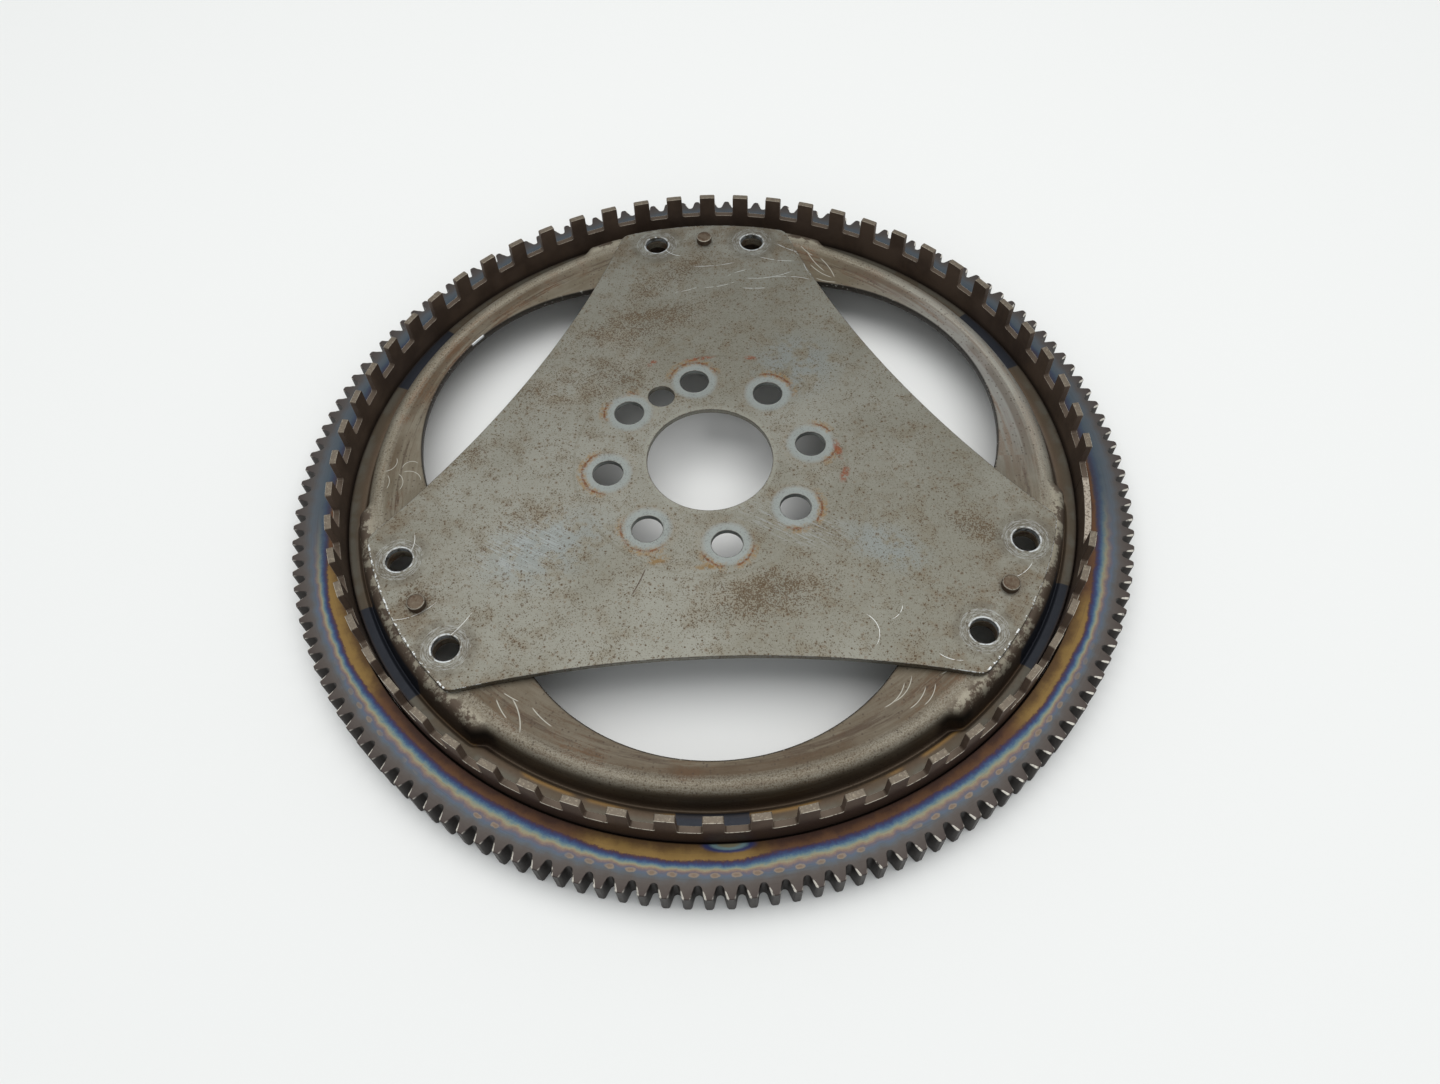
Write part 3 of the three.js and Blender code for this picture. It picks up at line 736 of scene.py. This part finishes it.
def half_arm():
    """Half an arm's outline, from the middle of its concave side to the arm's centre line, along +X."""
    centre = polar(PLATE_SIDE_CENTRE, 60)
    from_side, from_axis = PLATE_SIDE + PLATE_CORNER, PLATE_TIP - PLATE_CORNER
    along = (PLATE_SIDE_CENTRE ** 2 + from_axis ** 2 - from_side ** 2) / (2 * PLATE_SIDE_CENTRE)
    fillet = polar(from_axis, 60 - math.degrees(math.acos(along / from_axis)))
    start = math.degrees(math.atan2(-centre[1], -centre[0]))
    end = math.degrees(math.atan2(fillet[1] - centre[1], fillet[0] - centre[0]))
    end = start + (end - start + 180) % 360 - 180
    tip = math.degrees(math.atan2(fillet[1], fillet[0]))
    first = end + 180
    last = first + (tip - first + 180) % 360 - 180
    return (arc(centre, PLATE_SIDE, start, end, 40)
            + arc(fillet, PLATE_CORNER, first, last, 12)[1:]
            + arc((0, 0), PLATE_TIP, tip, 0, 30)[1:])


def plate_outline():
    upper = half_arm()
    lower = [(x, -y) for x, y in reversed(upper)]
    arm = sorted(lower[1:] + upper[:-1], key=lambda p: math.atan2(p[1], p[0]))
    return [turn(p, a) for a in ARMS for p in arm[1:]]


def flex_plate():
    """The plate with its sheared edges rounded and shallow pressed seats round the bolt holes."""
    outline = plate_outline()
    crank = [polar(CRANK_CIRCLE, CRANK_FIRST + 45 * i) for i in range(8)]
    loops = [(outline, 0.0), (hole_loop((0, 0), HUB_HOLE, 160), 0.0)]
    loops += [(hole_loop(c, CRANK_HOLE, 56), CRANK_SEAT_DEPTH) for c in crank]
    loops += [(hole_loop(polar(DOWEL_CIRCLE, DOWEL_ANGLE), DOWEL_HOLE, 56), 0.0)]
    loops += [(hole_loop(c, CONVERTER_HOLE, 52), CONVERTER_SEAT_DEPTH) for c in LUGS]
    loops += [(hole_loop(c, RIVET_HOLE, 32), 0.0) for c in RIVETS]
    bottom = PLATE_TOP - PLATE_THICKNESS
    # The sheared edge, as distance in from the outline, distance down from the face, and wear.
    rows = ((0.34, 0.0, 0.0), (0.2, 0.0, 0.6), (0.06, 0.06, 1.0), (0.0, 0.2, 0.8), (0.0, 0.8, 0.0))
    profile = [(d, PLATE_TOP - z, w, True) for d, z, w in rows]
    profile += [(d, bottom + z, w, False) for d, z, w in reversed(rows)]
    vertices, faces, edge_wear_and_shade, starts = [], [], [], []
    for d, z, w, on_top in profile:
        level = []
        for loop, sunk in loops:
            level.append(len(vertices))
            z_here = z - sunk if on_top and z > PLATE_TOP - 0.5 else z
            vertices += [(x, y, z_here) for x, y in inset(loop, d)]
            edge_wear_and_shade += [w] * len(loop)
        starts.append(level)
    for k in range(len(profile) - 1):
        for n, (loop, _) in enumerate(loops):
            a, b, size = starts[k][n], starts[k + 1][n], len(loop)
            for i in range(size):
                j = (i + 1) % size
                faces.append((a + i, b + i, b + j, a + j))

    def fill(level, z, seats):
        """One face of the plate, between its outline, its holes and the circles of its seats."""
        rings = [range(first, first + len(loop)) for first, (loop, _) in zip(starts[level], loops)]
        borders = [np.array([vertices[v][:2] for v in ring]) for ring in rings]
        for centre, radius, depth in seats:
            circle = hole_loop(centre, radius, 64)
            rings.append(range(len(vertices), len(vertices) + len(circle)))
            vertices.extend((x, y, z - depth) for x, y in circle)
            edge_wear_and_shade.extend([0.0] * len(circle))
        index, edges = [], []
        for ring in rings:
            edges += [(len(index) + i, len(index) + (i + 1) % len(ring)) for i in range(len(ring))]
            index += ring
        made = delaunay_2d_cdt([Vector(vertices[v][:2]) for v in index], edges, [], 0, 1e-6)
        triangles = np.array(made[2])
        x, y = np.array([tuple(p) for p in made[0]])[triangles].mean(1).T
        keep = np.ones(len(x), bool)
        for n, border in enumerate(borders):
            inside = np.zeros(len(x), bool)
            for (x0, y0), (x1, y1) in zip(border, np.roll(border, -1, 0)):
                if y1 != y0:
                    inside ^= ((y0 > y) != (y1 > y)) & (x < (x1 - x0) * (y - y0) / (y1 - y0) + x0)
            keep &= inside if n == 0 else ~inside
        for triangle in triangles[keep]:
            corners = tuple(index[made[3][i][0]] for i in triangle)
            faces.append(corners if level == 0 else corners[::-1])

    seats = []
    for places, radius, depth in ((crank, CRANK_SEAT, CRANK_SEAT_DEPTH),
                                  (LUGS, CONVERTER_SEAT, CONVERTER_SEAT_DEPTH)):
        seats += [(c, radius - SEAT_RAMP, depth) for c in places] + [(c, radius, 0.0) for c in places]
    fill(0, PLATE_TOP, seats)
    fill(len(profile) - 1, bottom, [])
    return vertices, faces, edge_wear_and_shade


# ------ rim carrier

def opening_radius(away):
    """Radius of the three-lobed opening at an angle from the nearest arm."""
    psi = math.radians(60 - abs(away))
    across = LOBE_CENTRE * math.sin(psi)
    return max(LOBE_CENTRE * math.cos(psi) + math.sqrt(LOBE_RADIUS ** 2 - across ** 2), TAB_RADIUS)


def carrier_section(degrees):
    """The pressed sheet's section, from the opening over the shoulder, down the wall and out along the ledge."""
    away = abs(from_arm(degrees))
    on_pad = 1 - smoothstep(away, 17, 31)
    stepped = 1 - smoothstep(away, 22.1, 24.4)
    top = lerp(FLANGE_TOP, PAD_TOP, on_pad)
    flange = top - FLANGE_DISH * (1 - on_pad)
    inner = opening_radius(away)
    halfway = lerp(inner, FLANGE_EDGE, 0.5)

    def at(in_window, under_arm):
        return lerp(in_window, under_arm, stepped)

    above = [
        (inner + 0.5, flange), (halfway, flange), (FLANGE_EDGE, flange),
        (at(120.9, 121.6), top), (at(122.6, 125.3), top), (at(124.4, 127.1), top - 0.8),
        (at(125.5, 128.3), top - 2.6), (at(126.1, 129.1), at(13.4, 14)), (at(126.5, 129.5), at(11.0, 11.2)),
        (at(127.3, 130.0), at(10.2, 10.8)), (at(128.0, 130.4), at(10.6, 11.1)), (at(128.6, 131.0), LEDGE_TOP),
        (131.8, LEDGE_TOP), (CARRIER_OUTER - 0.4, LEDGE_TOP)]
    low = LEDGE_TOP - CARRIER_THICKNESS
    below = [
        (CARRIER_OUTER - 0.4, low), (at(131.6, 132.0), low), (at(130.2, 131.2), at(6.4, 7.7)),
        (at(127.4, 130.0), at(5.6, 7.5)), (at(124.4, 127.5), at(6.4, 7.9)), (at(123.1, 126.2), at(8.4, 10.5)),
        (at(122.4, 125.3), top - 5.2), (at(121.2, 124.2), top - CARRIER_THICKNESS),
        (FLANGE_EDGE, flange - CARRIER_THICKNESS), (halfway, flange - CARRIER_THICKNESS),
        (inner + 0.5, flange - CARRIER_THICKNESS)]
    outer_edge = [(CARRIER_OUTER, LEDGE_TOP - 0.4), (CARRIER_OUTER, low + 0.4)]
    inner_edge = [(inner, flange - CARRIER_THICKNESS + 0.5), (inner, flange - 0.35), (inner + 0.12, flange - 0.1)]
    return rounded(above, 2) + outer_edge + rounded(below, 2) + inner_edge


def rim_carrier():
    """The carrier, with sections closer together where its pads and its wall change shape."""
    half = [0.0]
    while half[-1] < 59.9:
        half.append(half[-1] + (0.4 if 16.5 < half[-1] < 31 else 0.9))
    half = [a * 60 / half[-1] for a in half]
    sector = [-a for a in reversed(half[1:-1])] + half
    angles = [arm + a for arm in ARMS for a in sector]
    vertices, faces = loop_of_sections(angles, carrier_section)
    size = len(carrier_section(0))
    edge = {0: 0.3, size - 1: 1.0, size - 2: 1.0, size - 3: 1.0}       # the opening's edge
    edge_wear_and_shade = [edge.get(i % size, 0.0) for i in range(len(vertices))]
    return vertices, [f[::-1] for f in faces], edge_wear_and_shade


def drill(piece, holes):
    """Round holes cut straight down through a piece. The cutters are removed once the cut is applied."""
    for centre, radius in holes:
        bpy.ops.mesh.primitive_cylinder_add(vertices=48, radius=radius * MM, depth=30 * MM,
                                            location=(centre[0] * MM, centre[1] * MM, PAD_TOP * MM))
        cutter = bpy.context.active_object
        cut = piece.modifiers.new("cut", "BOOLEAN")
        cut.operation = "DIFFERENCE"
        cut.solver = "EXACT"
        cut.object = cutter
        mesh = bpy.data.meshes.new_from_object(piece.evaluated_get(bpy.context.evaluated_depsgraph_get()))
        piece.modifiers.clear()
        piece.data = mesh
        bpy.data.objects.remove(cutter)


# ------ ring gear

def starter_ring_gear():
    """The ring gear, each gap round at the bottom and each tooth bevelled more on its leading flank."""
    gap_x, gap_y = GEAR_GAP_HALF, GEAR_TIP * math.cos(math.asin(GEAR_GAP_HALF / GEAR_TIP))
    far = math.hypot(gap_x, gap_y - GEAR_ROOT_CENTRE)
    tangent = math.degrees(math.atan2(gap_y - GEAR_ROOT_CENTRE, gap_x) - math.acos(GEAR_ROOT_ROUND / far))
    root = arc((0, GEAR_ROOT_CENTRE), GEAR_ROOT_ROUND, 180 - tangent, 360 + tangent, 10)
    flank = (0.1, 0.35, 0.62, 0.86)
    right = [(lerp(root[-1][0], gap_x, f), lerp(root[-1][1], gap_y, f)) for f in flank]
    left = [(-x, y) for x, y in reversed(right)]
    pitch, nose = 360.0 / GEAR_TEETH, 0.5
    half_tip = GEAR_TIP * math.sin(math.radians(pitch / 2))

    def tip(x, bevel, edge_wear_and_shade):
        return x, math.sqrt(GEAR_TIP ** 2 - x * x), bevel, edge_wear_and_shade

    # Points across the gap and out from the axis, with their top bevel and their wear. They run
    # counter-clockwise round the gear, so "across" points against the gap's own X axis.
    rows = [tip(-half_tip, 0.22, 0.15), tip(lerp(-half_tip, -gap_x - nose, 0.5), 0.22, 0.15),
            tip(-gap_x - nose * 0.8, 0.26, 0.3)]
    rows += [(*p, b, w) for p, b, w in zip(left, (0.26, 0.24, 0.18, 0.1), (0.6, 0.45, 0.2, 0.0))]
    rows += [(*p, 0.1, 0.0) for p in root]
    rows += [(*p, b, w) for p, b, w in zip(right, (0.12, 0.34, 0.46, 0.5), (0.2, 0.9, 1.0, 1.0))]
    rows += [tip(gap_x + nose * 0.8, 0.42, 0.6), tip(lerp(gap_x + nose, half_tip, 0.5), 0.24, 0.2)]

    outline = [turn((y, x), GEAR_FIRST_GAP + tooth * pitch) for tooth in range(GEAR_TEETH) for x, y, _, _ in rows]
    bevels, wears = [row[2] for row in rows] * GEAR_TEETH, [row[3] for row in rows] * GEAR_TEETH
    angles = [math.degrees(math.atan2(y, x)) for x, y in outline]
    rings, edge_wear_and_shade = [], []

    level, top, low_bevel = [0.0] * len(outline), GEAR_HEIGHT, 0.25

    def ring(points, height, drops=level, values=level):
        rings.append([(x, y, height - drop) for (x, y), drop in zip(points, drops)])
        edge_wear_and_shade.extend(values)

    bore, chamfer, web = ([polar(r, a) for a in angles] for r in (GEAR_BORE, GEAR_BORE + GEAR_CHAMFER, GEAR_WEB))
    ring(bore, GEAR_CHAMFER)
    ring(bore, top - GEAR_CHAMFER)
    ring(chamfer, top)
    ring(web, top)
    ring(inset(outline, [b + 0.12 for b in bevels]), top)
    ring(inset(outline, bevels), top, values=wears)
    ring(outline, top, bevels, wears)
    ring(outline, top, [b + 0.15 for b in bevels])
    ring(outline, low_bevel)
    ring(inset(outline, low_bevel), 0.0)
    ring(web, 0.0)
    ring(chamfer, 0.0)
    vertices, faces = torus_of_rings(rings)
    return vertices, [f[::-1] for f in faces], edge_wear_and_shade


# ------ trigger ring

def trigger_ring():
    """The castellated ring, with rounded corners at the gap floors and a butt seam."""
    middle = (RING_OUTER + RING_INNER) / 2
    per_degree = middle * math.pi / 180
    seam, period = RING_SEAM * per_degree, 360 * per_degree
    centres = [RING_FIRST_TOOTH + 360 / RING_PLACES * i for i in range(RING_PLACES) if i not in RING_MISSING]
    half, crest, foot = RING_HALF_TOOTH, RING_CREST_ROUND, RING_FLOOR_ROUND
    wide = half + foot + RING_DRAFT
    path = []
    for i, centre in enumerate(centres):
        s = centre * per_degree
        path += arc((s - wide, RING_FLOOR + foot), foot, -90, 0, 6)
        path += arc((s - half + crest, RING_TOP - crest), crest, 180, 90, 4)
        path += [(s + t * half, RING_TOP) for t in (-0.5, -0.2, 0.2, 0.5)]
        path += arc((s + half - crest, RING_TOP - crest), crest, 90, 0, 4)
        path += arc((s + wide, RING_FLOOR + foot), foot, 180, 270, 6)
        following = (centres[i + 1] if i + 1 < len(centres) else centres[0] + 360) * per_degree
        start, end = s + half + foot + 0.6, following - half - foot - 0.6
        steps = max(2, round((end - start) / 2.2))
        floor = [lerp(start, end, k / steps) for k in range(steps + 1)]
        if start < seam < end:
            floor = [v for v in floor if abs(v - seam) > 1.2]
            floor = sorted(floor + [seam + d for d in (-0.7, -0.35, -0.15, 0.0, 0.15, 0.35, 0.7)])
        path += [(v, RING_FLOOR) for v in floor]
    rings, edge_wear_and_shade = [], []

    def groove(s):
        away = abs((s - seam + period / 2) % period - period / 2)
        return SEAM_DEPTH * max(0.0, 1 - away / SEAM_HALF)

    edge = RING_BEVEL
    in1, in2 = inset(path, -edge, period), inset(path, -edge * 0.3, period)
    base, lift = ([(s, z) for s, _ in path] for z in (RING_BOTTOM, RING_BOTTOM + edge))
    for points, radius, value in (
            (lift, RING_OUTER, 0.0), (in1, RING_OUTER, 0.3), (in2, RING_OUTER - edge * 0.3, 1.0),
            (path, RING_OUTER - edge, 0.4), (path, RING_INNER + edge, 0.3), (in2, RING_INNER + edge * 0.3, 0.7),
            (in1, RING_INNER, 0.1), (lift, RING_INNER, 0.0), (base, RING_INNER + edge, 0.0),
            (base, RING_OUTER - edge, 0.0)):
        outward = 1 if radius > middle else -1
        row = []
        for s, z in points:
            r = radius - outward * groove(s)
            row.append((r * math.cos(s / middle), r * math.sin(s / middle), z))
        rings.append(row)
        edge_wear_and_shade += [value] * len(points)
    vertices, faces = torus_of_rings(rings)
    return vertices, faces, edge_wear_and_shade


# ------ rivets and welds

def rivet(centre):
    """A rivet with a plain head above the plate and a swelled tail below the carrier."""
    below, above = PAD_TOP - CARRIER_THICKNESS - HAIRLINE, PLATE_TOP + HAIRLINE
    low, top = below - RIVET_TAIL_HEIGHT, PLATE_TOP + RIVET_HEAD_HEIGHT
    profile = [(0, low), (3.0, low), (3.9, below - 1.5), (4.35, below - 0.9), (4.4, below - 0.4), (4.3, below),
               (RIVET_SHANK, below), (RIVET_SHANK, above), (RIVET_HEAD, above), (RIVET_HEAD, top - 0.7),
               (RIVET_HEAD - 0.08, top - 0.3), (RIVET_HEAD - 0.35, top - 0.06), (RIVET_HEAD - 0.75, top),
               (1.4, top - 0.03), (0, top - 0.06)]
    return turned(profile, 48, centre, wobble=0.006)


def rim_weld(centre, phase):
    """A rippled fillet bead in the corner between the ledge's underside and the trigger ring."""
    outer = RING_INNER - HAIRLINE
    top = LEDGE_TOP - CARRIER_THICKNESS - HAIRLINE
    count = 90
    stations = [centre + WELD_ARC * (i / count - 0.5) for i in range(count + 1)]

    def section(angle):
        t = (angle - centre) / WELD_ARC + 0.5
        ends = min(1.0, 6 * t + 0.25, 6 * (1 - t) + 0.25)
        ripple = 1 - 0.06 * (1 + math.sin(t * 150 + phase))
        leg = WELD_LEG * ends * ripple
        return [(outer - leg, top), (outer - leg * 0.92, top - leg * 0.35), (outer - leg * 0.7, top - leg * 0.68),
                (outer - leg * 0.38, top - leg * 0.9), (outer, top - leg), (outer, top)]

    vertices, faces = loop_of_sections(stations, section, closed=False)
    return vertices, [f[::-1] for f in faces]


# ------ the object

plate = make_object("flex_plate_sheet", "flex_plate", "plate_steel", plate_look(), 50, *flex_plate())
even_shading(plate)

carrier = make_object("rim_carrier_pressing", "rim_carrier", "carrier_steel", carrier_look(), 60, *rim_carrier())
drill(carrier, [(c, CONVERTER_HOLE) for c in LUGS] + [(c, RIVET_HOLE) for c in RIVETS])

gear = make_object("starter_ring_gear_teeth", "starter_ring_gear", "gear_steel", gear_look(), 40,
                   *starter_ring_gear())
even_shading(gear)

ring = make_object("trigger_ring_castellated", "trigger_ring", "trigger_steel", ring_look(), 50, *trigger_ring())
even_shading(ring)

rivet_steel, weld_steel = rivet_look(), weld_look()
for i, centre in enumerate(RIVETS):
    make_object(f"rivet_{i + 1}_headed", f"rivet_{i + 1}", "rivet_steel", rivet_steel, 50, *rivet(centre))
for i, angle in enumerate(WELDS):
    make_object(f"rim_weld_{i + 1}_bead", f"rim_weld_{i + 1}", "weld_steel", weld_steel, 50,
                *rim_weld(angle, i * 1.3))


# ------ studio

def plain_floor():
    half = 4.0
    mesh = bpy.data.meshes.new("floor")
    mesh.from_pydata([(-half, -half, 0), (half, -half, 0), (half, half, 0), (-half, half, 0)], [], [(0, 1, 2, 3)])
    material = bpy.data.materials.new("floor_pale")
    material.use_nodes = True
    shader = material.node_tree.nodes["Principled BSDF"]
    shader.inputs["Base Color"].default_value = (0.78, 0.782, 0.77, 1)
    shader.inputs["Roughness"].default_value = 0.75
    mesh.materials.append(material)
    link("floor", mesh)


def area_light(name, place, width, depth, power, tint):
    """A soft light in metres and watts that faces the object."""
    light = bpy.data.lights.new(name, "AREA")
    light.shape = "RECTANGLE"
    light.size, light.size_y = width, depth
    light.energy = power
    light.color = tint
    lamp = link(name, light)
    lamp.location = place
    lamp.rotation_mode = "QUATERNION"
    lamp.rotation_quaternion = (-Vector(place)).to_track_quat("-Z", "Y")


plain_floor()
area_light("ceiling_window", place=(0.05, 0.25, 1.5), width=2.3, depth=1.5, power=23.3, tint=(1.0, 0.995, 0.985))
area_light("front_fill", place=(0.1, -1.3, 0.9), width=1.6, depth=1.0, power=3.8, tint=(0.95, 0.98, 1.0))

world = bpy.data.worlds.new("soft_room")
world.use_nodes = True
background = world.node_tree.nodes["Background"]
background.inputs["Color"].default_value = (0.93, 0.975, 1.0, 1)
background.inputs["Strength"].default_value = 0.46
scene.world = world
scene.view_settings.view_transform = "Standard"


# ------ camera

def camera(target, distance, elevation, azimuth, roll, lens):
    """A camera that looks at a target. The target, the distance and the lens are in millimetres."""
    a, e, t = math.radians(azimuth), math.radians(elevation), math.radians(roll)
    back = Vector((math.sin(a) * math.cos(e), -math.cos(a) * math.cos(e), math.sin(e)))
    right = (-back).cross(Vector((0, 0, 1))).normalized()
    up = right.cross(-back)
    side = right * math.cos(t) + up * math.sin(t)
    over = up * math.cos(t) - right * math.sin(t)
    made = link("camera", bpy.data.cameras.new("camera"))
    made.data.lens, made.data.sensor_width = lens, 36.0
    made.data.clip_start, made.data.clip_end = 0.01, 30.0
    place = Vector(target) * MM + back * distance * MM
    made.matrix_world = Matrix((
        (side.x, over.x, back.x, place.x), (side.y, over.y, back.y, place.y),
        (side.z, over.z, back.z, place.z), (0, 0, 0, 1)))
    scene.camera = made


camera(target=(2.753, -36.517, 23.857), distance=363.41, elevation=57.533, azimuth=0.305, roll=-2.132, lens=26.214)
